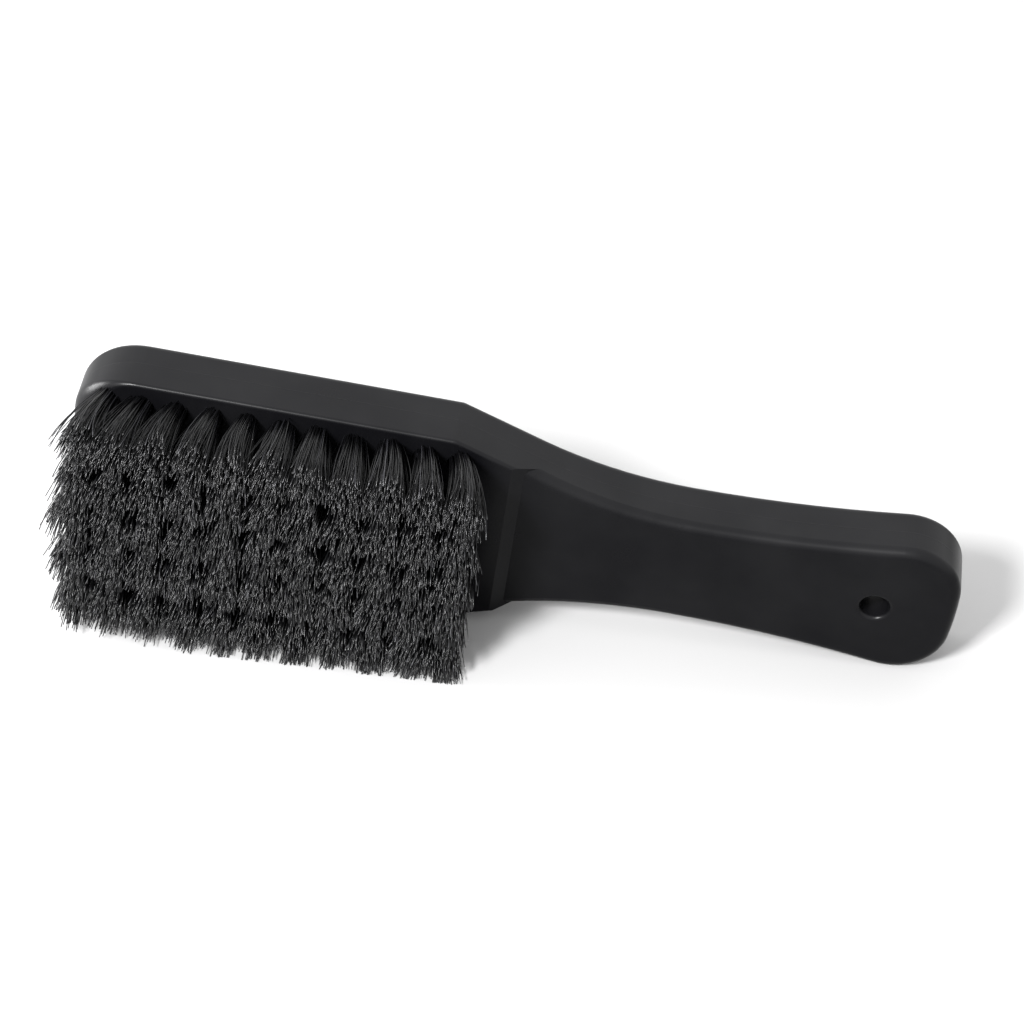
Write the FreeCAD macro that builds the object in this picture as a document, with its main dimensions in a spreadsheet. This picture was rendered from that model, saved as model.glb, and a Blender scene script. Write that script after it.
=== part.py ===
import FreeCAD, Part
import math
import os

import Sketcher

# A short-handled wheel brush, in millimetres. One moulded block carries the head and the handle.
# Tufts of stiff filament stand in blind holes in the head, and a flat metal anchor holds each one.
#
# Every piece is drawn in the brush's own axes: x runs from the head end to the tail, y across,
# z from the flat back (0) to the bristled face. Last of all the whole brush is laid on its side.

SIZES = (
    # alias, millimetres or degrees, meaning
    ("overall_length", 250, "head end to tail end"),
    ("block_thickness", 17.7, "flat back to bristled face"),
    ("head_width", 69, "across the head"),
    ("head_length", 106, "head end to the corner where the neck starts"),
    ("head_end_radius", 900, "very slight crown of the head end"),
    ("head_corner_radius", 18, "plan corners of the head"),
    ("kink_radius", 4, "plan corner between head and neck"),
    ("neck_angle", 20.5, "how fast the neck narrows, in degrees"),
    ("neck_radius", 125, "hollow curve from the neck to the waist"),
    ("waist_width", 36.2, "narrowest part of the handle"),
    ("flare_radius", 380, "hollow curve from the waist to the tail"),
    ("tail_corner_radius", 16, "plan corners of the tail"),
    ("tail_end_radius", 120, "slight crown of the tail end"),
    ("back_rounding", 2.4, "edge round the flat back"),
    ("head_rounding", 1, "crisp edge along the sides of the bristled face"),
    ("nose_rounding", 7, "soft edge of the bristled face at the head end"),
    ("grip_rounding", 2.8, "soft edge round the handle's face"),
    ("shoulder_beyond_corner", 16, "neck corner to the shoulder where the face steps down"),
    ("shoulder_angle", 32, "slope of the shoulder, in degrees"),
    ("shoulder_depth", 5, "how deep the slope goes before it is buried in the handle"),
    ("grip_overlap", 12, "how far the handle reaches into the head"),
    ("face_setback", 0.4, "handle face below the bristled face at the tail"),
    ("belly_radius", 620, "long hollow of the handle's face from waist to shoulder"),
    ("hang_hole_diameter", 8, "bore near the tail"),
    ("hang_hole_inset", 22.6, "tail end to the bore's centre"),
    ("hang_hole_rounding", 1.3, "rounded mouths of the bore"),
    ("tuft_columns", 11, "tufts along the head"),
    ("tuft_rows", 5, "tufts across the head"),
    ("first_column_inset", 11, "head end to the first column"),
    ("last_column_overrun", 1, "last column beyond the neck corner"),
    ("outer_row_inset", 7.7, "side of the head to the outer rows"),
    ("tuft_diameter", 5.4, "filament bundle where it is set"),
    ("tuft_tip_diameter", 8.8, "filament bundle at its tips"),
    ("tuft_height", 25.5, "bristled face to the trimmed tips"),
    ("hole_depth", 10, "blind hole for a tuft"),
    ("column_spread", 1.0, "extra pitch at the tips, along the head"),
    ("row_spread", 1.35, "extra pitch at the tips, across the head"),
    ("tuft_clearance", 0.05, "tuft to hole wall"),
    ("flare_start", 1, "straight stretch of tuft above the face"),
    ("anchor_thickness", 0.4, "flat wire anchor"),
    ("anchor_height", 2, "flat wire anchor, along the hole"),
    ("anchor_bite", 0.7, "anchor end pressed into the hole wall"),
    ("anchor_lift", 1.2, "hole floor to the anchor"),
    ("anchor_clearance", 0.03, "anchor to the material round it"),
)

COUNTS = ("tuft_columns", "tuft_rows")
OVERCUT = 2.0  # how far a cutter runs past the face it opens
TINY = 1e-6  # two heights closer than this are the same

doc = FreeCAD.newDocument("wheel_brush")
sheet = doc.addObject("Spreadsheet::Sheet", "Sizes")


def fill_sheet():
    """Write each driving size into its own named cell."""
    for row, (alias, value, meaning) in enumerate(SIZES, start=1):
        sheet.set("A%d" % row, alias)
        sheet.set("B%d" % row, str(value))
        sheet.setAlias("B%d" % row, alias)
        sheet.set("C%d" % row, meaning)
    doc.recompute()


def size(alias):
    """Read one driving size back from the sheet."""
    value = float(sheet.get(alias))
    return int(round(value)) if alias in COUNTS else value


def vector(x, y, z=0.0):
    return FreeCAD.Vector(x, y, z)


def shoulder_place():
    """Head end to the top of the shoulder."""
    return size("head_length") + size("shoulder_beyond_corner")


# ---- plan outline -------------------------------------------------------------------------


def circle_crossing(centre_a, radius_a, centre_b, radius_b):
    """The crossing of two circles that lies furthest along x."""
    gap = centre_b - centre_a
    along = (radius_a**2 - radius_b**2 + gap.Length**2) / (2 * gap.Length)
    across = math.sqrt(radius_a**2 - along**2)
    unit = FreeCAD.Vector(gap).normalize()
    side = vector(-unit.y, unit.x)
    crossings = [centre_a + unit * along + side * across * way for way in (1, -1)]
    return max(crossings, key=lambda point: point.x)


def plan_centres():
    """Centres of the arcs that make the upper half of the plan outline."""
    half_head = size("head_width") / 2
    half_waist = size("waist_width") / 2
    slope = math.radians(size("neck_angle"))
    head_radius, corner = size("head_end_radius"), size("head_corner_radius")
    neck, flare = size("neck_radius"), size("flare_radius")
    tail_corner, tail_end = size("tail_corner_radius"), size("tail_end_radius")
    kink = size("kink_radius")
    reach = math.sqrt((head_radius - corner) ** 2 - (half_head - corner) ** 2)
    tangent_height = half_waist + neck * (1 - math.cos(slope))
    straight = (half_head - tangent_height) / math.tan(slope)
    waist = size("head_length") + straight + neck * math.sin(slope)
    end_centre = vector(size("overall_length") - tail_end, 0)
    flare_centre = vector(waist, half_waist + flare)
    return {
        "head_end": vector(head_radius, 0),
        "head_corner": vector(head_radius - reach, half_head - corner),
        "kink": vector(size("head_length") - kink * math.tan(slope / 2), half_head - kink),
        "neck": vector(waist, half_waist + neck),
        "flare": flare_centre,
        "tail_corner": circle_crossing(flare_centre, flare + tail_corner, end_centre, tail_end - tail_corner),
        "tail_end": end_centre,
    }


def toward(start, goal, distance):
    """The point at a distance from start, in the direction of goal."""
    return start + FreeCAD.Vector(goal - start).normalize() * distance


def plan_points(centres):
    """The points where the lines and arcs of the upper half meet, from head end to tail end."""
    half_head = size("head_width") / 2
    slope = math.radians(size("neck_angle"))
    normal = vector(math.sin(slope), math.cos(slope))
    return [
        vector(0, 0),
        toward(centres["head_end"], centres["head_corner"], size("head_end_radius")),
        vector(centres["head_corner"].x, half_head),
        vector(centres["kink"].x, half_head),
        centres["kink"] + normal * size("kink_radius"),
        centres["neck"] - normal * size("neck_radius"),
        vector(centres["neck"].x, size("waist_width") / 2),
        toward(centres["flare"], centres["tail_corner"], size("flare_radius")),
        toward(centres["tail_end"], centres["tail_corner"], size("tail_end_radius")),
        vector(size("overall_length"), 0),
    ]


def arc_between(centre, start, end):
    """The short arc about centre, given counter-clockwise as the sketcher wants it."""
    circle = Part.Circle(centre, vector(0, 0, 1), (start - centre).Length)
    first = math.atan2(start.y - centre.y, start.x - centre.x)
    last = math.atan2(end.y - centre.y, end.x - centre.x)
    return Part.ArcOfCircle(circle, first, last)


START, END, CENTRE = 1, 2, 3
X_AXIS = -1


def outline_sketch(body):
    """Upper half of the plan outline, closed along the x axis and driven by the sheet."""
    sketch = body.newObject("Sketcher::SketchObject", "HalfOutline")
    sketch.AttachmentSupport = [(origin_plane(body, "XY_Plane"), "")]
    sketch.MapMode = "FlatFace"
    centres = plan_centres()
    p = plan_points(centres)
    head_end = sketch.addGeometry(arc_between(centres["head_end"], p[1], p[0]))
    head_corner = sketch.addGeometry(arc_between(centres["head_corner"], p[2], p[1]))
    side = sketch.addGeometry(Part.LineSegment(p[2], p[3]))
    kink = sketch.addGeometry(arc_between(centres["kink"], p[4], p[3]))
    slope = sketch.addGeometry(Part.LineSegment(p[4], p[5]))
    neck = sketch.addGeometry(arc_between(centres["neck"], p[5], p[6]))
    flare = sketch.addGeometry(arc_between(centres["flare"], p[6], p[7]))
    tail_corner = sketch.addGeometry(arc_between(centres["tail_corner"], p[8], p[7]))
    tail_end = sketch.addGeometry(arc_between(centres["tail_end"], p[9], p[8]))
    axis = sketch.addGeometry(Part.LineSegment(p[9], p[0]))
    corner = sketch.addGeometry(Part.Point(vector(size("head_length"), p[2].y)), True)

    def add(*parts):
        return sketch.addConstraint(Sketcher.Constraint(*parts))

    for joint in (
        (head_end, START, head_corner, END),
        (head_corner, START, side, START),
        (side, END, kink, END),
        (kink, START, slope, START),
        (slope, END, neck, START),
        (neck, END, flare, START),
        (flare, END, tail_corner, END),
        (tail_corner, START, tail_end, END),
    ):
        add("Tangent", *joint)
    add("Coincident", tail_end, START, axis, START)
    add("Coincident", axis, END, head_end, END)
    add("Coincident", axis, END, X_AXIS, START)
    add("PointOnObject", head_end, CENTRE, X_AXIS)
    add("PointOnObject", tail_end, CENTRE, X_AXIS)
    add("PointOnObject", axis, START, X_AXIS)
    add("Horizontal", side)
    add("Vertical", neck, CENTRE, neck, END)
    add("PointOnObject", corner, START, side)
    add("PointOnObject", corner, START, slope)

    def drive(alias, expression, *parts):
        index = add(*parts)
        sketch.renameConstraint(index, alias)
        sketch.setExpression("Constraints." + alias, expression)

    for alias, arc in (
        ("head_end_radius", head_end),
        ("head_corner_radius", head_corner),
        ("kink_radius", kink),
        ("neck_radius", neck),
        ("flare_radius", flare),
        ("tail_corner_radius", tail_corner),
        ("tail_end_radius", tail_end),
    ):
        drive(alias, "Sizes." + alias, "Radius", arc, size(alias))
    drive("half_head", "Sizes.head_width / 2", "DistanceY", X_AXIS, START, side, START, p[2].y)
    drive("half_waist", "Sizes.waist_width / 2", "DistanceY", X_AXIS, START, neck, END, p[6].y)
    drive("head_length", "Sizes.head_length", "DistanceX", X_AXIS, START, corner, START, size("head_length"))
    drive("overall_length", "Sizes.overall_length", "DistanceX", X_AXIS, START, axis, START, p[9].x)
    falling = -math.radians(size("neck_angle"))
    drive("neck_angle", "-Sizes.neck_angle * 1 deg", "Angle", slope, falling)
    return sketch


# ---- block --------------------------------------------------------------------------------


def origin_plane(body, role):
    return next(item for item in body.Origin.OriginFeatures if item.Role == role)


def edges_where(shape, test):
    """Names of the edges that pass the test."""
    return ["Edge%d" % number for number, edge in enumerate(shape.Edges, start=1) if test(edge)]


def add_fillet(body, name, alias, base, test):
    """Round the edges that pass the test, by the named size."""
    fillet = body.newObject("PartDesign::Fillet", name)
    fillet.Base = (base, edges_where(base.Shape, test))
    fillet.setExpression("Radius", "Sizes." + alias)
    doc.recompute()
    return fillet


def profile_cut(body, name, points, arc=None):
    """Cut the body right across by a closed side profile, given in x and z."""
    sketch = body.newObject("Sketcher::SketchObject", name + "Profile")
    sketch.AttachmentSupport = [(origin_plane(body, "XZ_Plane"), "")]
    sketch.MapMode = "FlatFace"
    if arc:
        sketch.addGeometry(arc)
    for first, last in zip(points, points[1:]):
        sketch.addGeometry(Part.LineSegment(first, last))
    cut = body.newObject("PartDesign::Pocket", name)
    cut.Profile = sketch
    cut.Type = "ThroughAll"
    cut.Midplane = True
    doc.recompute()
    return cut


def cut_to_head(body):
    """Keep the head: the face ends in a sloping shoulder, and below it in an upright end."""
    top, start = size("block_thickness"), shoulder_place()
    slope, drop = math.radians(size("shoulder_angle")), size("shoulder_depth")
    run = drop / math.tan(slope)
    lip = vector(start - OVERCUT / math.tan(slope), top + OVERCUT)
    knee = vector(start + run, top - drop)
    far = size("overall_length") + OVERCUT
    points = [lip, knee, vector(knee.x, -OVERCUT), vector(far, -OVERCUT), vector(far, top + OVERCUT), lip]
    return profile_cut(body, "Shoulder", points)


def cut_to_grip(body):
    """Lower the handle's face: flat at the tail, a long hollow towards the head, straight on under it."""
    top = size("block_thickness")
    flat = top - size("face_setback")
    waist, radius = plan_centres()["neck"].x, size("belly_radius")
    centre = vector(waist, flat - radius)
    fall = math.asin((waist - shoulder_place()) / radius)
    foot = centre + vector(-math.sin(fall), math.cos(fall)) * radius
    buried = size("head_length") - size("grip_overlap")
    end = foot - vector(math.cos(fall), math.sin(fall)) * ((foot.x - buried) / math.cos(fall))
    hollow = arc_between(centre, vector(waist, flat), foot)
    far = size("overall_length") + OVERCUT
    points = [foot, end, vector(buried, -OVERCUT), vector(-OVERCUT, -OVERCUT), vector(-OVERCUT, top + OVERCUT)]
    points += [vector(far, top + OVERCUT), vector(far, flat), vector(waist, flat)]
    return profile_cut(body, "HandleFace", points, hollow)


def runs_across(edge):
    """True for a straight edge that crosses the block from side to side."""
    first, last = edge.Vertexes[0].Point, edge.Vertexes[-1].Point
    return abs(first.x - last.x) < TINY and abs(first.y + last.y) < TINY and abs(first.y) > 1


def on_back(edge):
    return edge.BoundBox.ZMax < TINY * 10 and not runs_across(edge)


def round_head(edge):
    """True for the edge that goes round the bristled face."""
    return edge.BoundBox.ZMin > size("block_thickness") - TINY * 10 and not runs_across(edge)


def round_grip(edge):
    """True for the edge that goes round the handle's face."""
    box = edge.BoundBox
    return box.ZMin > size("block_thickness") / 2 and not runs_across(edge)


def bore_mouth(edge):
    curve = edge.Curve
    return isinstance(curve, Part.Circle) and abs(curve.Radius - size("hang_hole_diameter") / 2) < TINY


def cut_hang_hole(body):
    """The bore near the tail that hangs the brush on a hook."""
    sketch = body.newObject("Sketcher::SketchObject", "BoreCircle")
    sketch.AttachmentSupport = [(origin_plane(body, "XY_Plane"), "")]
    sketch.MapMode = "FlatFace"
    place = vector(size("overall_length") - size("hang_hole_inset"), 0)
    ring = sketch.addGeometry(Part.Circle(place, vector(0, 0, 1), size("hang_hole_diameter") / 2))
    sketch.addConstraint(Sketcher.Constraint("PointOnObject", ring, CENTRE, X_AXIS))
    sketch.addConstraint(Sketcher.Constraint("Radius", ring, size("hang_hole_diameter") / 2))
    sketch.addConstraint(Sketcher.Constraint("DistanceX", X_AXIS, START, ring, CENTRE, place.x))
    sketch.renameConstraint(1, "bore_radius")
    sketch.renameConstraint(2, "bore_place")
    sketch.setExpression("Constraints.bore_radius", "Sizes.hang_hole_diameter / 2")
    sketch.setExpression("Constraints.bore_place", "Sizes.overall_length - Sizes.hang_hole_inset")
    cut = body.newObject("PartDesign::Pocket", "HangHole")
    cut.Profile = sketch
    cut.Type = "ThroughAll"
    cut.Midplane = True
    doc.recompute()
    return cut


def make_prism(name):
    """The whole plan outline at full thickness, as a body of its own."""
    body = doc.addObject("PartDesign::Body", name)
    sketch = outline_sketch(body)
    doc.recompute()
    pad = body.newObject("PartDesign::Pad", name + "Half")
    pad.Profile = sketch
    pad.setExpression("Length", "Sizes.block_thickness")
    doc.recompute()
    mirror = body.newObject("PartDesign::Mirrored", name + "Whole")
    mirror.Originals = [pad]
    mirror.MirrorPlane = (origin_plane(body, "XZ_Plane"), [""])
    body.Tip = mirror
    doc.recompute()
    return body


def round_head_face(body):
    """Round the bristled face: crisp along the sides, growing round the corners to the soft nose."""
    half_end = plan_points(plan_centres())[1].y
    crisp, nose = size("head_rounding"), size("nose_rounding")
    edges = []
    for number, edge in enumerate(body.Shape.Edges, start=1):
        if round_head(edge):
            ends = (edge.Vertexes[0].Point, edge.Vertexes[-1].Point)
            at_nose = [end.x < size("head_corner_radius") and abs(end.y) < half_end + TINY for end in ends]
            edges.append((number, *[nose if near else crisp for near in at_nose]))
    fillet = doc.addObject("Part::Fillet", "HeadFaceEdge")
    fillet.Base = body
    fillet.Edges = edges
    doc.recompute()
    return fillet


def make_head():
    body = make_prism("Head")
    shape = cut_to_head(body)
    add_fillet(body, "HeadBackEdge", "back_rounding", shape, on_back)
    return round_head_face(body)


def make_grip():
    body = make_prism("Grip")
    shape = cut_to_grip(body)
    shape = add_fillet(body, "GripBackEdge", "back_rounding", shape, on_back)
    add_fillet(body, "GripFaceEdge", "grip_rounding", shape, round_grip)
    bore = cut_hang_hole(body)
    add_fillet(body, "BoreMouths", "hang_hole_rounding", bore, bore_mouth)
    return body


# ---- tufts, their holes and their anchors -------------------------------------------------


def tuft_frame(column, row):
    """Placement whose origin is the tuft's middle on the face and whose z is the tuft's own axis."""
    first, last = size("first_column_inset"), size("head_length") + size("last_column_overrun")
    gaps_along, gaps_across = size("tuft_columns") - 1, size("tuft_rows") - 1
    row_pitch = (size("head_width") - 2 * size("outer_row_inset")) / gaps_across
    from_middle_x = column - gaps_along / 2
    from_middle_y = row - gaps_across / 2
    root = vector(
        first + column * (last - first) / gaps_along,
        from_middle_y * row_pitch,
        size("block_thickness"),
    )
    lean = vector(
        from_middle_x * size("column_spread"),
        from_middle_y * size("row_spread"),
        size("tuft_height"),
    )
    return FreeCAD.Placement(root, FreeCAD.Rotation(vector(0, 0, 1), lean)), lean


def moved_along(frame, x, y, z):
    return frame.multiply(FreeCAD.Placement(vector(x, y, z), FreeCAD.Rotation()))


def add_primitive(kind, name, frame, **formulas):
    """A Part primitive driven by the sheet, standing in the given frame."""
    obj = doc.addObject("Part::" + kind, name)
    for prop, formula in formulas.items():
        obj.setExpression(prop, formula)
    obj.Placement = frame
    return obj


def add_boolean(kind, name, base, tool):
    obj = doc.addObject("Part::" + kind, name)
    obj.Base = base
    obj.Tool = tool
    return obj


def anchor_box(name, frame, gap, gap_formula):
    """A flat bar across the tuft near the hole's floor, larger all round by the gap."""
    length = size("tuft_diameter") + 2 * size("tuft_clearance") + 2 * size("anchor_bite") + 2 * gap
    corner = moved_along(
        frame,
        -size("anchor_thickness") / 2 - gap,
        -length / 2,
        size("anchor_lift") - size("hole_depth") - gap,
    )
    return add_primitive(
        "Box",
        name,
        corner,
        Length="Sizes.anchor_thickness + " + gap_formula,
        Width="Sizes.tuft_diameter + 2 * Sizes.tuft_clearance + 2 * Sizes.anchor_bite + " + gap_formula,
        Height="Sizes.anchor_height + " + gap_formula,
    )


def make_hole(tag, frame, space):
    """What is cut from the block for one tuft: its blind hole and the room for its anchor."""
    drill = add_primitive(
        "Cylinder",
        "Drill" + tag,
        moved_along(frame, 0, 0, -size("hole_depth")),
        Radius="Sizes.tuft_diameter / 2 + Sizes.tuft_clearance",
        Height="Sizes.hole_depth + %g" % OVERCUT,
    )
    return add_boolean("Fuse", "Hole" + tag, drill, space)


def make_tuft(tag, frame, lean, space, slab):
    """One bundle of filament: a straight root, a flare to the tips, trimmed level, split by its anchor."""
    upright = lean.z / lean.Length
    root = add_primitive(
        "Cylinder",
        "Root" + tag,
        moved_along(frame, 0, 0, -size("hole_depth")),
        Radius="Sizes.tuft_diameter / 2",
        Height="Sizes.hole_depth + Sizes.flare_start",
    )
    flare = add_primitive(
        "Cone",
        "Flare" + tag,
        moved_along(frame, 0, 0, size("flare_start")),
        Radius1="Sizes.tuft_diameter / 2",
        Radius2="Sizes.tuft_tip_diameter / 2",
        Height="(Sizes.tuft_height + %g) / %.9f - Sizes.flare_start" % (OVERCUT, upright),
    )
    whole = add_boolean("Fuse", "Bundle" + tag, root, flare)
    trimmed = add_boolean("Common", "Trimmed" + tag, whole, slab)
    tuft = add_boolean("Cut", "Tuft" + tag, trimmed, space)
    tuft.Label = "tuft_" + tag
    return tuft


def make_slab():
    """The room between the flat back and the level of the trimmed tips."""
    margin = size("overall_length")
    frame = FreeCAD.Placement(vector(-margin, -margin, 0), FreeCAD.Rotation())
    return add_primitive(
        "Box",
        "TrimSlab",
        frame,
        Length="3 * Sizes.overall_length",
        Width="2 * Sizes.overall_length",
        Height="Sizes.block_thickness + Sizes.tuft_height",
    )


def make_tufts():
    """Every tuft with its hole and anchor, row by row."""
    slab = make_slab()
    tufts, holes, anchors = [], [], []
    gap = size("anchor_clearance")
    for row in range(size("tuft_rows")):
        for column in range(size("tuft_columns")):
            tag = "r%d_c%02d" % (row + 1, column + 1)
            frame, lean = tuft_frame(column, row)
            space = anchor_box("AnchorRoom" + tag, frame, gap, "2 * Sizes.anchor_clearance")
            anchors.append(anchor_box("Anchor" + tag, frame, 0, "0"))
            holes.append(make_hole(tag, frame, space))
            tufts.append(make_tuft(tag, frame, lean, space, slab))
    return tufts, holes, anchors


def gather(name, members):
    group = doc.addObject("Part::Compound", name)
    group.Links = members
    return group


# ---- laying the brush down ----------------------------------------------------------------


def lying_angle():
    """Turn that brings the corner at the neck and the corner at the tail onto one level floor."""
    centres = plan_centres()
    head, tail = centres["kink"], centres["tail_corner"]
    between = vector(tail.x - head.x, head.y - tail.y)
    rise = math.atan2(between.y, between.x)
    unequal = math.asin((size("kink_radius") - size("tail_corner_radius")) / between.Length)
    return math.degrees(rise + unequal)


def lay_down(pieces):
    """Turn every piece onto the brush's side, stand it on z = 0 and centre it over the origin."""
    on_edge = FreeCAD.Rotation(vector(1, 0, 0), 90)
    tail_down = FreeCAD.Rotation(vector(0, 1, 0), lying_angle())
    turn = FreeCAD.Placement(vector(0, 0, 0), tail_down.multiply(on_edge))
    for piece in pieces:
        piece.Placement = turn
    doc.recompute()
    box = Part.makeCompound([piece.Shape for piece in pieces]).optimalBoundingBox(False, False)
    shift = vector(-(box.XMin + box.XMax) / 2, -(box.YMin + box.YMax) / 2, -box.ZMin)
    for piece in pieces:
        piece.Placement = FreeCAD.Placement(shift, turn.Rotation)
    doc.recompute()
    return shift


# ---- build, check and write ---------------------------------------------------------------


def build():
    blank = add_boolean("Fuse", "Blank", make_head(), make_grip())
    tufts, holes, anchors = make_tufts()
    block = add_boolean("Cut", "Block", blank, gather("TuftHoles", holes))
    block.Label = "brush_block"
    staples = gather("Anchors", anchors)
    staples.Label = "tuft_anchors"
    doc.recompute()
    return [block, staples] + tufts


def check(pieces):
    """Stop before anything is written if a feature failed or a piece isn't a sound solid."""
    for obj in doc.Objects:
        if "Invalid" in obj.State or "Error" in obj.State:
            raise RuntimeError("%s is %s" % (obj.Name, obj.State))
    for piece in pieces:
        if piece.Shape.isNull() or not piece.Shape.isValid() or piece.Shape.Volume <= 0:
            raise RuntimeError("%s has no sound shape" % piece.Label)


def report(pieces, shift):
    """Print the sizes that the rest of the work reads off the model."""
    box = Part.makeCompound([piece.Shape for piece in pieces]).optimalBoundingBox(False, False)
    turn = pieces[0].Placement
    bore = turn.multVec(vector(size("overall_length") - size("hang_hole_inset"), 0, size("block_thickness") / 2))
    back = turn.multVec(vector(size("head_length") / 2, 0, 0))
    print("overall", [round(v, 3) for v in (box.XLength, box.YLength, box.ZLength)])
    print("lying angle", round(lying_angle(), 4), "shift", [round(v, 4) for v in shift])
    print("bore middle", [round(v, 4) for v in bore], "back face", [round(v, 4) for v in back])


def export(pieces):
    os.makedirs("parts", exist_ok=True)
    for piece in pieces:
        piece.Shape.exportStep("parts/%s.step" % piece.Label)


fill_sheet()
parts = build()
offset = lay_down(parts)
check(parts)
report(parts, offset)
export(parts)
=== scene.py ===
# %% [markdown]
# # A wheel brush
# A short hand brush for wheels: one moulded block that is both head and handle, and stiff tufts of
# black filament standing in rows of blind holes. The engineering model gives the size and place of
# every piece. This lesson loads it, gives the block its moulded skin, and grows real filaments where
# the model only has plain tuft solids.

# %% Load the engineering model
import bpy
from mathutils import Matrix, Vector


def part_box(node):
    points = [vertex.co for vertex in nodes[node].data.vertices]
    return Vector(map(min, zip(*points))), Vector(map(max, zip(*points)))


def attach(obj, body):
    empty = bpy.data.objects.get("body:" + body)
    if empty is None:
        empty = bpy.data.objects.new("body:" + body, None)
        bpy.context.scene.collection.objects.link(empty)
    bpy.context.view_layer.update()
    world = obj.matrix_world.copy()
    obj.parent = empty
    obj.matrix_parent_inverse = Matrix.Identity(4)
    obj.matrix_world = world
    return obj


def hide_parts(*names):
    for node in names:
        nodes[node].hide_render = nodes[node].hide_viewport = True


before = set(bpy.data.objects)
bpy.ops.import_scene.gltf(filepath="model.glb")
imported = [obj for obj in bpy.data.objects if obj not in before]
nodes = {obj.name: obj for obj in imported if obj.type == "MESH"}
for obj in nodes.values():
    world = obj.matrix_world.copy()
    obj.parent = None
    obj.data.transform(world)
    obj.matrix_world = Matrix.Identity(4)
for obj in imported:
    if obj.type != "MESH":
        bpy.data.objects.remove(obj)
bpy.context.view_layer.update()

# %% [markdown]
# ## What the lesson works with
# Meshes are built with bmesh, and everything is in metres. The model's pieces come by name: the
# block, the anchors, and one solid for each tuft, numbered by row and column.

# %% Tools for the lesson
import math
import random

import bmesh
import bpy
from mathutils import Matrix, Vector

MM = 0.001
scene = bpy.context.scene
tuft_names = sorted(name for name in nodes if name.startswith("tuft_r"))
print(len(tuft_names), "tufts to grow")

# %% [markdown]
# ## Colour and nodes
# Colours are picked as sRGB hex, the way a colour chart gives them, and Blender mixes light in
# linear values, so one function converts. A second small function adds a node with its settings
# and its links, which keeps each material readable as a recipe.

# %% Colour and node helpers
def linear(code):
    """An sRGB hex colour as the linear colour that the shader wants."""
    def channel(pair):
        value = int(pair, 16) / 255
        return value / 12.92 if value <= 0.04045 else ((value + 0.055) / 1.055) ** 2.4

    return (channel(code[1:3]), channel(code[3:5]), channel(code[5:7]), 1.0)


def add_node(tree, kind, settings=None, links=None):
    """Add a node; settings name its sockets or properties, links name what feeds a socket."""
    node = tree.nodes.new(kind)
    for name, value in (settings or {}).items():
        if isinstance(name, int) or name in node.inputs.keys():
            node.inputs[name].default_value = value
        else:
            setattr(node, name, value)
    for name, source in (links or {}).items():
        tree.links.new(source, node.inputs[name])
    return node


def new_material(name):
    """An empty node material with its output, ready for a shader."""
    material = bpy.data.materials.new(name)
    material.use_nodes = True
    material.node_tree.nodes.clear()
    return material, material.node_tree


def finish_material(tree, shader):
    """Send a shader to the material's surface."""
    add_node(tree, "ShaderNodeOutputMaterial", links={"Surface": shader.outputs["BSDF"]})


print("the block's lightest black is", linear("#070708"), "in linear values")

# %% [markdown]
# ## The camera
# The brush lies on its long edge with the tufts towards us, seen from above and a little to the
# right, with a long lens from a short way off, as in a catalogue. The camera aims a little above
# the middle of the brush and is rolled slightly, so the handle runs downhill to the right.

# %% Camera
VIEW_ELEVATION = math.radians(44.05)
VIEW_AZIMUTH = math.radians(5.98)
VIEW_ROLL = math.radians(2.29)
VIEW_DISTANCE = 0.8185
AIM_POINT = (0.9 * MM, 0.0, 48.8 * MM)
LENS = 105.47  # millimetres, on a 36 mm sensor


def aim_camera():
    """Stand the camera on its line of sight and roll it about that line."""
    back = Vector((
        math.sin(VIEW_AZIMUTH) * math.cos(VIEW_ELEVATION),
        -math.cos(VIEW_AZIMUTH) * math.cos(VIEW_ELEVATION),
        math.sin(VIEW_ELEVATION),
    ))
    turn = back.to_track_quat("Z", "Y").to_matrix().to_4x4()
    camera = bpy.data.objects.new("catalogue_camera", bpy.data.cameras.new("catalogue_camera"))
    camera.data.lens = LENS
    stand = Matrix.Translation(Vector(AIM_POINT) + back * VIEW_DISTANCE)
    camera.matrix_world = stand @ turn @ Matrix.Rotation(VIEW_ROLL, 4, "Z")
    scene.collection.objects.link(camera)
    scene.camera = camera
    return camera


print("camera stands at", aim_camera().matrix_world.translation)

# %% [markdown]
# ## The moulded skin of the block
# The real block is injection-moulded polypropylene, coloured black right through. A satin spark-
# eroded mould gives it a grain of about half a millimetre, and the plastic shrinks a little
# unevenly, which shows as broad soft changes of sheen. Noise on the object's own coordinates makes
# both, so the grain has a real size and doesn't swim. The two halves of the mould meet half way
# through the thickness and leave a hairline of flash there, drawn as a low ridge. The specular level
# is well below the plastic's own, so that the black stays deep in a white tent.

# %% Satin black polypropylene
GRAIN = 0.5 * MM
GRAIN_DEPTH = 0.02 * MM
SHEEN_PATCH = 22 * MM
GLOSSIEST, DULLEST = 0.27, 0.35
PARTING_PLANE = sum(corner.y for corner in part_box("brush_block")) / 2
PARTING_WIDTH = 0.35 * MM
PARTING_HEIGHT = 0.08 * MM


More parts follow.
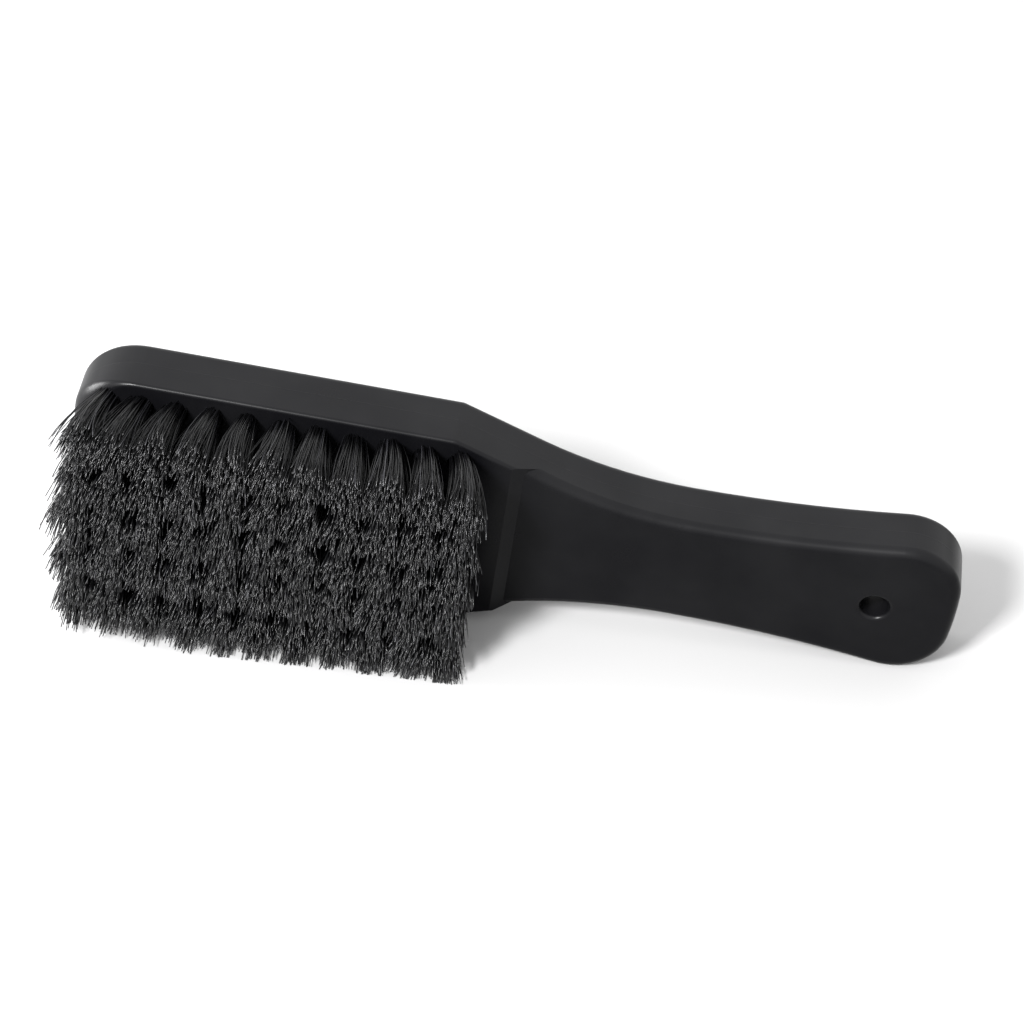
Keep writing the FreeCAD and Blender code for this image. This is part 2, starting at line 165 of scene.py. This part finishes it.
def satin_polypropylene():
    """Black moulded plastic with a fine grain, patchy sheen and a parting line."""
    material, tree = new_material("satin_black_polypropylene")
    place = add_node(tree, "ShaderNodeTexCoord").outputs["Object"]
    grain, patch = (
        add_node(tree, "ShaderNodeTexNoise", {"Scale": 1 / size, "Detail": detail}, {"Vector": place})
        for size, detail in ((GRAIN, 2.0), (SHEEN_PATCH, 3.0))
    )
    tone = add_node(tree, "ShaderNodeValToRGB", links={"Fac": patch.outputs["Fac"]})
    tone.color_ramp.elements[0].position = 0.35
    tone.color_ramp.elements[0].color = linear("#040405")
    tone.color_ramp.elements[1].position = 0.65
    tone.color_ramp.elements[1].color = linear("#070708")
    gloss = add_node(
        tree,
        "ShaderNodeMapRange",
        {"From Min": 0.3, "From Max": 0.7, "To Min": GLOSSIEST, "To Max": DULLEST},
        {"Value": patch.outputs["Fac"]},
    )
    grained = add_node(
        tree,
        "ShaderNodeBump",
        {"Strength": 0.25, "Distance": GRAIN_DEPTH},
        {"Height": grain.outputs["Fac"]},
    )
    depth = add_node(tree, "ShaderNodeSeparateXYZ", links={"Vector": place}).outputs["Y"]
    seam = add_node(
        tree,
        "ShaderNodeMath",
        {"operation": "COMPARE", 1: PARTING_PLANE, 2: PARTING_WIDTH / 2},
        {0: depth},
    )
    bump = add_node(
        tree,
        "ShaderNodeBump",
        {"Strength": 0.5, "Distance": PARTING_HEIGHT},
        {"Height": seam.outputs["Value"], "Normal": grained.outputs["Normal"]},
    )
    shader = add_node(
        tree,
        "ShaderNodeBsdfPrincipled",
        {"IOR": 1.49, "Specular IOR Level": 0.075},
        {
            "Base Color": tone.outputs["Color"],
            "Roughness": gloss.outputs["Result"],
            "Normal": bump.outputs["Normal"],
        },
    )
    finish_material(tree, shader)
    return material


def dress(node, material):
    """Put a material on a node of the model, whose mesh stays as it is."""
    nodes[node].material_slots[0].material = material
    print(node, "wears", material.name)


dress("brush_block", satin_polypropylene())

# %% [markdown]
# ## Galvanised anchors
# Each tuft is held by a short flat piece of galvanised steel wire, driven into the bottom of its
# hole. It is hidden in use, but the part can be taken apart on screen, so it gets its zinc bloom.

# %% Galvanised wire
ZINC_SPANGLE = 0.8 * MM


def galvanised_wire():
    """Zinc-coated steel, lighter and duller away from the middle of each crystal."""
    material, tree = new_material("galvanised_flat_wire")
    place = add_node(tree, "ShaderNodeTexCoord").outputs["Object"]
    spangle = add_node(tree, "ShaderNodeTexVoronoi", {"Scale": 1 / ZINC_SPANGLE}, {"Vector": place})
    tone = add_node(tree, "ShaderNodeValToRGB", links={"Fac": spangle.outputs["Distance"]})
    tone.color_ramp.elements[0].color = linear("#a9acac")
    tone.color_ramp.elements[1].color = linear("#c4c6c5")
    dull = add_node(
        tree,
        "ShaderNodeMapRange",
        {"To Min": 0.35, "To Max": 0.5},
        {"Value": spangle.outputs["Distance"]},
    )
    shader = add_node(
        tree,
        "ShaderNodeBsdfPrincipled",
        {"Metallic": 1.0},
        {"Base Color": tone.outputs["Color"], "Roughness": dull.outputs["Result"]},
    )
    finish_material(tree, shader)
    return material


dress("tuft_anchors", galvanised_wire())

# %% [markdown]
# ## The filament
# Brush filament is drawn polypropylene about 0.3 mm thick, glossy along its length, with a rough
# cut end where the knife went through. Each filament carries its own place along the length in its
# texture map, so one material can paint shade at the root, paint a highlight on the cut end and
# paint a glint on a few filaments.

# %% Drawn filament
# Where the painted highlight on the cut tip starts, and where it is full.
TIP_START, TIP_FULL = 0.93, 0.985
# A few filaments are made many times brighter, as a painted glint.
RARE_POWER = 14.0
COMMON_SHADE, RARE_PAINTED_GLINT = 0.6, 9.0


def drawn_filament():
    """Black plastic filament: painted shade at the root, a painted highlight at the tip, and now and
    then a painted glint.
    """
    material, tree = new_material("drawn_black_filament")
    chart = add_node(tree, "ShaderNodeUVMap", {"uv_map": "OFBake"})
    split = add_node(tree, "ShaderNodeSeparateXYZ", links={"Vector": chart.outputs["UV"]})
    # The ramp along each filament paints shade at the root and a highlight on the cut tip.
    along = add_node(tree, "ShaderNodeValToRGB", links={"Fac": split.outputs["Y"]})
    ramp = along.color_ramp
    ramp.elements[0].position = 0.0
    ramp.elements[0].color = linear("#040405")
    ramp.elements[1].position = TIP_START
    ramp.elements[1].color = linear("#09090a")
    ramp.elements.new(TIP_FULL).color = linear("#101011")
    # A high power of the map's band picks the few filaments that get the painted glint.
    rare = add_node(
        tree,
        "ShaderNodeMath",
        {"operation": "POWER", 1: RARE_POWER},
        {0: split.outputs["X"]},
    )
    painted_glint_gain = add_node(
        tree,
        "ShaderNodeMapRange",
        {"To Min": COMMON_SHADE, "To Max": RARE_PAINTED_GLINT},
        {"Value": rare.outputs["Value"]},
    )
    colour = add_node(
        tree,
        "ShaderNodeVectorMath",
        {"operation": "SCALE"},
        {"Vector": along.outputs["Color"], "Scale": painted_glint_gain.outputs["Result"]},
    )
    shader = add_node(
        tree,
        "ShaderNodeBsdfPrincipled",
        {"IOR": 1.49, "Roughness": 0.28, "Specular IOR Level": 0.15},
        {"Base Color": colour.outputs["Vector"]},
    )
    finish_material(tree, shader)
    return material


filament_finish = drawn_filament()
print("filament finish is", filament_finish.name)

# %% [markdown]
# ## One filament
# A hair system would be quick but leaves no mesh to export, and thousands of round tubes are heavy.
# So one three-sided filament is made with a cone primitive, cut into a few lengths, and every
# filament of the brush is a bent copy of it.

# %% Master filament
FILAMENT_RADIUS = 0.15 * MM
FILAMENT_CUTS = 6
SIDES = 3
CAP_HEIGHT = 0.01  # share of the length that an end face gets in the map, so it isn't a bare line


def master_filament():
    """A straight three-sided rod from z = 0 to 1, of radius 1, with its length in its texture map."""
    bm = bmesh.new()
    bmesh.ops.create_cone(
        bm,
        cap_ends=True,
        segments=SIDES,
        radius1=1,
        radius2=1,
        depth=1,
        matrix=Matrix.Translation((0, 0, 0.5)),
    )
    for step in range(1, FILAMENT_CUTS):
        level = Vector((0, 0, step / FILAMENT_CUTS))
        everything = bm.verts[:] + bm.edges[:] + bm.faces[:]
        bmesh.ops.bisect_plane(bm, geom=everything, plane_co=level, plane_no=(0, 0, 1))
    chart = bm.loops.layers.uv.new("OFBake")
    for face in bm.faces:
        face.smooth = abs(face.normal.z) < 0.5
        for corner, loop in enumerate(face.loops):
            height = loop.vert.co.z
            if not face.smooth and corner == 2:
                height += CAP_HEIGHT if height < 0.5 else -CAP_HEIGHT
            loop[chart].uv = (0.5, height)
    mesh = bpy.data.meshes.new("master_filament")
    bm.to_mesh(mesh)
    bm.free()
    return mesh


master = master_filament()
print("master filament has", len(master.polygons), "faces")

# %% [markdown]
# ## Where each tuft stands
# The model's plain tuft solid gives the middle and radius of the bundle at the hole's floor and at
# the trimmed tips. The filaments run between those two rings. A few tufts are combed from there: the
# lowest row sags towards the head end, and the tufts at the head end's corners stand more upright.

# %% Read a tuft's two ends
END_BAND = 1.2 * MM


def end_ring(name, level):
    """Middle and radius of a tuft where it meets the given level."""
    ring = [v.co for v in nodes[name].data.vertices if abs(v.co.y - level) < END_BAND]
    low = Vector((min(p.x for p in ring), level, min(p.z for p in ring)))
    high = Vector((max(p.x for p in ring), level, max(p.z for p in ring)))
    return (low + high) / 2, (high.z - low.z) / 2


DROOP = 3.0 * MM
DROOP_COLUMNS = 9
UPRIGHT = 1.6 * MM
LOWEST_ROW, TOP_ROW = 1, 5


def combed(name, tip):
    """Where a tuft's tip has settled: the lowest row sags, the two corners stand upright."""
    row, column = int(name[6]), int(name[-2:])
    sag = inward = 0
    if row == LOWEST_ROW:
        sag = DROOP * max(0, math.sin(math.pi * (column + 0.5) / DROOP_COLUMNS))
    if column == 1 and row in (LOWEST_ROW, TOP_ROW):
        inward = UPRIGHT
    return tip + Vector((inward, 0, -sag))


def tuft_ends(name):
    """Middle and radius of a tuft at the hole's floor, then at the tips."""
    low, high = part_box(name)
    root, root_radius = end_ring(name, high.y)
    tip, tip_radius = end_ring(name, low.y)
    return (root, root_radius), (combed(name, tip), tip_radius)


print("first tuft runs between", tuft_ends(tuft_names[0]))

# %% [markdown]
# ## Growing a tuft
# A real tuft is a bundle folded double round its anchor, so it leaves the hole tight and opens
# towards the tips. The filaments are spread evenly over the bundle like seeds in a sunflower, each
# leans out with its place in the bundle, bows a little, and gathers with its neighbours into small
# locks. The trimming is never perfect, so the tips stand unevenly, and a few filaments stray.

# %% The path of one filament
GOLDEN_ANGLE = math.pi * (3 - math.sqrt(5))
PACKED = 0.9  # share of the hole's radius that the middle lines fill at the root
LOCK_PULL = 0.36
SPREAD_ACROSS, SPREAD_ALONG = 2.1, 1.22
OPENING = 1.2
BOW = 1.0 * MM
BOW_LATENESS = 1.5
OWN_BOW, SHARED_BOW = 0.45, 0.5
WANDER = 1.25 * MM
UNEVEN = 3.4 * MM
UNEVEN_POWER = 1.5
STRAY_SHARE = 0.05
STRAY_REACH = 3.0 * MM
FLOOR_GAP = 0.3 * MM
shuffle = random.Random(7)


def disc_place(index, count):
    """Sunflower place in a unit disc."""
    reach, angle = math.sqrt((index + 0.5) / count), index * GOLDEN_ANGLE
    return Vector((reach * math.cos(angle), 0, reach * math.sin(angle)))


def flat_gauss(size):
    """A random step in the plane of the tips."""
    return Vector((shuffle.gauss(0, size), 0, shuffle.gauss(0, size)))


def filament_path(root, root_radius, tip, tip_radius, place, locks, curl):
    """The middle line of one filament, from the hole's floor to its tip."""
    nearest = min(locks, key=lambda lock: (lock - place).length)
    lean = place.lerp(nearest, LOCK_PULL)
    end = tip + Vector((lean.x * SPREAD_ALONG, 0, lean.z * SPREAD_ACROSS)) * tip_radius
    end += flat_gauss(WANDER)
    end.y += shuffle.random() ** UNEVEN_POWER * UNEVEN
    if shuffle.random() < STRAY_SHARE:
        end += flat_gauss(STRAY_REACH * 0.5)
        end.y += shuffle.random() * STRAY_REACH
    aside = place * root_radius * PACKED
    bow = flat_gauss(BOW * OWN_BOW) + curl
    points = []
    for step in range(FILAMENT_CUTS + 1):
        share = step / FILAMENT_CUTS
        in_bundle = root.lerp(tip, share) + aside
        point = in_bundle.lerp(end, share**OPENING)
        point.y = root.y + (end.y - root.y) * share
        point += bow * math.sin(math.pi * share**BOW_LATENESS)
        point.z = max(point.z, FLOOR_GAP)
        points.append(point)
    return points


print("a filament is", 2 * FILAMENT_RADIUS / MM, "mm thick, and", STRAY_SHARE, "of them stray")

# %% [markdown]
# ## Filling the holes
# Each tuft becomes one mesh of a few hundred filaments, which moves with the brush and stands for
# the model's plain solid. Every filament gets its own turn and its own narrow band of the texture
# map, so neighbours differ in how they catch the light, and the few whose band sits high get a
# painted glint.

# %% Grow the tufts
PER_TUFT = 280
LOCKS = 6
LOCK_REACH, LOCK_SCATTER = 0.9, 0.15
MAP_START, MAP_END, MAP_WIDTH = 0.02, 0.95, 0.02


def bend_copy(bm, chart, path):
    """Add a copy of the master filament to bm, laid along the path."""
    first_vert, first_face = len(bm.verts), len(bm.faces)
    bm.from_mesh(master)
    bm.verts.ensure_lookup_table()
    bm.faces.ensure_lookup_table()
    turn = shuffle.uniform(0, math.tau)
    band = shuffle.uniform(MAP_START, MAP_END)
    for vert in bm.verts[first_vert:]:
        ring = round(vert.co.z * FILAMENT_CUTS)
        angle = math.atan2(vert.co.y, vert.co.x) + turn
        vert.co = path[ring] + Vector((math.cos(angle), 0, math.sin(angle))) * FILAMENT_RADIUS
    for face in bm.faces[first_face:]:
        for corner, loop in enumerate(face.loops):
            loop[chart].uv.x = band + MAP_WIDTH * (corner % 2)


def grow_tuft(name):
    """One tuft's filaments, in the place of the model's solid of that name."""
    (root, root_radius), (tip, tip_radius) = tuft_ends(name)
    bm = bmesh.new()
    chart = bm.loops.layers.uv.new("OFBake")
    locks = [disc_place(i, LOCKS) * LOCK_REACH + flat_gauss(LOCK_SCATTER) for i in range(LOCKS)]
    curl = flat_gauss(BOW * SHARED_BOW)
    for index in range(PER_TUFT):
        place = disc_place(index, PER_TUFT)
        bend_copy(bm, chart, filament_path(root, root_radius, tip, tip_radius, place, locks, curl))
    mesh = bpy.data.meshes.new(name + "_filaments")
    bm.to_mesh(mesh)
    bm.free()
    mesh.materials.append(filament_finish)
    piece = bpy.data.objects.new(name + "_filaments", mesh)
    scene.collection.objects.link(piece)
    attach(piece, "root")
    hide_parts(name)
    return piece


pieces = [grow_tuft(name) for name in tuft_names]
bpy.data.meshes.remove(master)
print(len(pieces), "tufts,", sum(len(p.data.polygons) for p in pieces), "faces")

# %% [markdown]
# ## The floor
# A sheet of pale matt paper, wide enough to run out of the picture on every side. It isn't part of
# the brush.

# %% Floor
FLOOR_REACH = 3


def pale_floor():
    """A wide flat sheet at the height of the brush's lowest point."""
    bm = bmesh.new()
    bmesh.ops.create_grid(bm, x_segments=1, y_segments=1, size=FLOOR_REACH)
    mesh = bpy.data.meshes.new("floor")
    bm.to_mesh(mesh)
    bm.free()
    floor = bpy.data.objects.new("floor", mesh)
    scene.collection.objects.link(floor)
    material, tree = new_material("pale_paper")
    settings = {"Base Color": linear("#707070"), "Roughness": 0.9}
    shader = add_node(tree, "ShaderNodeBsdfPrincipled", settings)
    finish_material(tree, shader)
    mesh.materials.append(material)
    return floor


print("floor is", pale_floor().name)

# %% [markdown]
# ## Light
# The brush lies in a large white tent, brighter overhead than at the horizon, as a real one is. Two
# soft boxes draw the edges: one beside and above the camera, and one low at the head end. The
# standard view keeps white paper white and black plastic black.

# %% Light tent and soft boxes
TENT_OVERHEAD = 3.5
TENT_HORIZON = 2.4


def light_tent():
    """A white surround that brightens from the horizon to the top."""
    world = bpy.data.worlds.new("light_tent")
    world.use_nodes = True
    tree = world.node_tree
    tree.nodes.clear()
    direction = add_node(tree, "ShaderNodeTexCoord").outputs["Generated"]
    height = add_node(tree, "ShaderNodeSeparateXYZ", links={"Vector": direction}).outputs["Z"]
    strength = add_node(
        tree,
        "ShaderNodeMapRange",
        {"To Min": TENT_HORIZON, "To Max": TENT_OVERHEAD},
        {"Value": height},
    )
    light = add_node(
        tree,
        "ShaderNodeBackground",
        {"Color": (1, 1, 1, 1)},
        {"Strength": strength.outputs["Result"]},
    )
    add_node(tree, "ShaderNodeOutputWorld", links={"Surface": light.outputs["Background"]})
    scene.world = world


def soft_box(name, place, power, width):
    """A square lamp that faces the brush."""
    lamp = bpy.data.lights.new(name, "AREA")
    lamp.energy = power
    lamp.size = width
    box = bpy.data.objects.new(name, lamp)
    facing = Vector(place).to_track_quat("Z", "Y").to_matrix().to_4x4()
    box.matrix_world = Matrix.Translation(place) @ facing
    scene.collection.objects.link(box)
    return box


light_tent()
soft_box("shoulder_box", (-0.45, -0.78, 0.95), 85, 0.24)
soft_box("head_end_box", (-1.2, 0.1, 0.25), 50, 0.6)
scene.view_settings.view_transform = "Standard"
